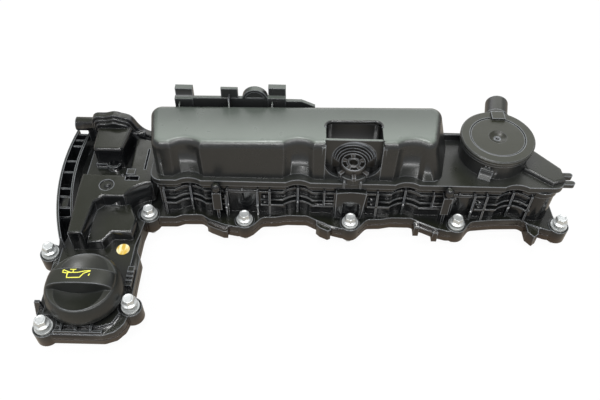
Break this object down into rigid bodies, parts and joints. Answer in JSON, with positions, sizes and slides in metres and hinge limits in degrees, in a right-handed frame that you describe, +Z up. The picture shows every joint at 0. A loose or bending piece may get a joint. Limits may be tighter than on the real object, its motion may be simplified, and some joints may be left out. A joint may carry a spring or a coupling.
{
  "type": "engine valve cover",
  "caption": "Moulded camshaft cover with a ribbed skirt, oil separator box, breather regulator, screw filler cap and captive flange bolts.",
  "frame": {"origin": "middle of the footprint, on the bench plane that the cover stands on; the gasket face is 10 mm above it", "axes": "+X along the front bolt row away from the filler cap, +Y towards the breather spigot, +Z up, away from the cylinder head"},
  "size_m": [0.4324, 0.218, 0.1134],
  "materials": {
    "nylon_black": "satin",
    "cap_black": "satin",
    "lid_plastic": "satin",
    "rubber": "matte",
    "zinc_steel": "satin",
    "spring_steel": "satin",
    "paint_yellow": "satin"
  },
  "bodies": {
    "cover": {"baffle_plate": "nylon_black", "bolt_sleeve_a": "zinc_steel", "bolt_sleeve_b": "zinc_steel", "bolt_sleeve_c": "zinc_steel", "bolt_sleeve_f1": "zinc_steel", "bolt_sleeve_f2": "zinc_steel", "bolt_sleeve_f3": "zinc_steel", "bolt_sleeve_f4": "zinc_steel", "bolt_sleeve_f5": "zinc_steel", "bolt_sleeve_r1": "zinc_steel", "bolt_sleeve_r2": "zinc_steel", "bolt_sleeve_r3": "zinc_steel", "bolt_sleeve_r4": "zinc_steel", "bolt_sleeve_r5": "zinc_steel", "cover_body": "nylon_black", "cover_gasket": "rubber", "inspection_dot": "paint_yellow", "mount_grommet": "rubber", "separator_box": "nylon_black", "valve_diaphragm": "rubber", "valve_lid": "lid_plastic", "valve_spring": "spring_steel"},
    "bolt_f1": {"bolt_f1": "zinc_steel"},
    "bolt_f2": {"bolt_f2": "zinc_steel"},
    "bolt_f3": {"bolt_f3": "zinc_steel"},
    "bolt_f4": {"bolt_f4": "zinc_steel"},
    "bolt_f5": {"bolt_f5": "zinc_steel"},
    "bolt_a": {"bolt_a": "zinc_steel"},
    "bolt_b": {"bolt_b": "zinc_steel"},
    "bolt_c": {"bolt_c": "zinc_steel"},
    "bolt_r1": {"bolt_r1": "zinc_steel"},
    "bolt_r2": {"bolt_r2": "zinc_steel"},
    "bolt_r3": {"bolt_r3": "zinc_steel"},
    "bolt_r4": {"bolt_r4": "zinc_steel"},
    "bolt_r5": {"bolt_r5": "zinc_steel"},
    "cap_seal": {"filler_cap_seal": "rubber"},
    "cap": {"filler_cap": "cap_black"},
    "valve_plate": {"valve_plate": "cap_black"}
  },
  "joints": [
    {"name": "bolt_f1_slide", "type": "slide", "parent": "cover", "child": "bolt_f1", "axis": [0, 0, 1], "range_m": [-0.0012, 0.008]},
    {"name": "bolt_f2_slide", "type": "slide", "parent": "cover", "child": "bolt_f2", "axis": [0, 0, 1], "range_m": [-0.0008, 0.008]},
    {"name": "bolt_f3_slide", "type": "slide", "parent": "cover", "child": "bolt_f3", "axis": [0, 0, 1], "range_m": [-0.0006, 0.008]},
    {"name": "bolt_f4_slide", "type": "slide", "parent": "cover", "child": "bolt_f4", "axis": [0, 0, 1], "range_m": [-0.0018, 0.008]},
    {"name": "bolt_f5_slide", "type": "slide", "parent": "cover", "child": "bolt_f5", "axis": [0, 0, 1], "range_m": [-0.0026, 0.008]},
    {"name": "bolt_a_slide", "type": "slide", "parent": "cover", "child": "bolt_a", "axis": [0, 0, 1], "range_m": [-0.0034, 0.008]},
    {"name": "bolt_b_slide", "type": "slide", "parent": "cover", "child": "bolt_b", "axis": [0, 0, 1], "range_m": [-0.002, 0.008]},
    {"name": "bolt_c_slide", "type": "slide", "parent": "cover", "child": "bolt_c", "axis": [0, 0, 1], "range_m": [-0.0044, 0.008]},
    {"name": "bolt_r1_slide", "type": "slide", "parent": "cover", "child": "bolt_r1", "axis": [0, 0, 1], "range_m": [-0.001, 0.008]},
    {"name": "bolt_r2_slide", "type": "slide", "parent": "cover", "child": "bolt_r2", "axis": [0, 0, 1], "range_m": [-0.001, 0.008]},
    {"name": "bolt_r3_slide", "type": "slide", "parent": "cover", "child": "bolt_r3", "axis": [0, 0, 1], "range_m": [-0.001, 0.008]},
    {"name": "bolt_r4_slide", "type": "slide", "parent": "cover", "child": "bolt_r4", "axis": [0, 0, 1], "range_m": [-0.001, 0.008]},
    {"name": "bolt_r5_slide", "type": "slide", "parent": "cover", "child": "bolt_r5", "axis": [0, 0, 1], "range_m": [-0.001, 0.008]},
    {"name": "cap_rise", "type": "slide", "parent": "cover", "child": "cap_seal", "axis": [0, 0, 1], "range_m": [0, 0.012]},
    {"name": "cap_turn", "type": "hinge", "parent": "cap_seal", "child": "cap", "pos_m": [-0.16921, -0.0732, 0.03], "axis": [0, 0, 1], "range_deg": [0, 360]},
    {"name": "valve_lift", "type": "slide", "parent": "cover", "child": "valve_plate", "axis": [0, 0, 1], "range_m": [-0.0032, 0.0015], "stiffness_N_per_m": 500, "deforming": ["valve_spring", "valve_diaphragm"]}
  ],
  "couplings": [
    {"joint": "cap_turn", "follows": "cap_rise", "rad_per_m": 523.6}
  ]
}
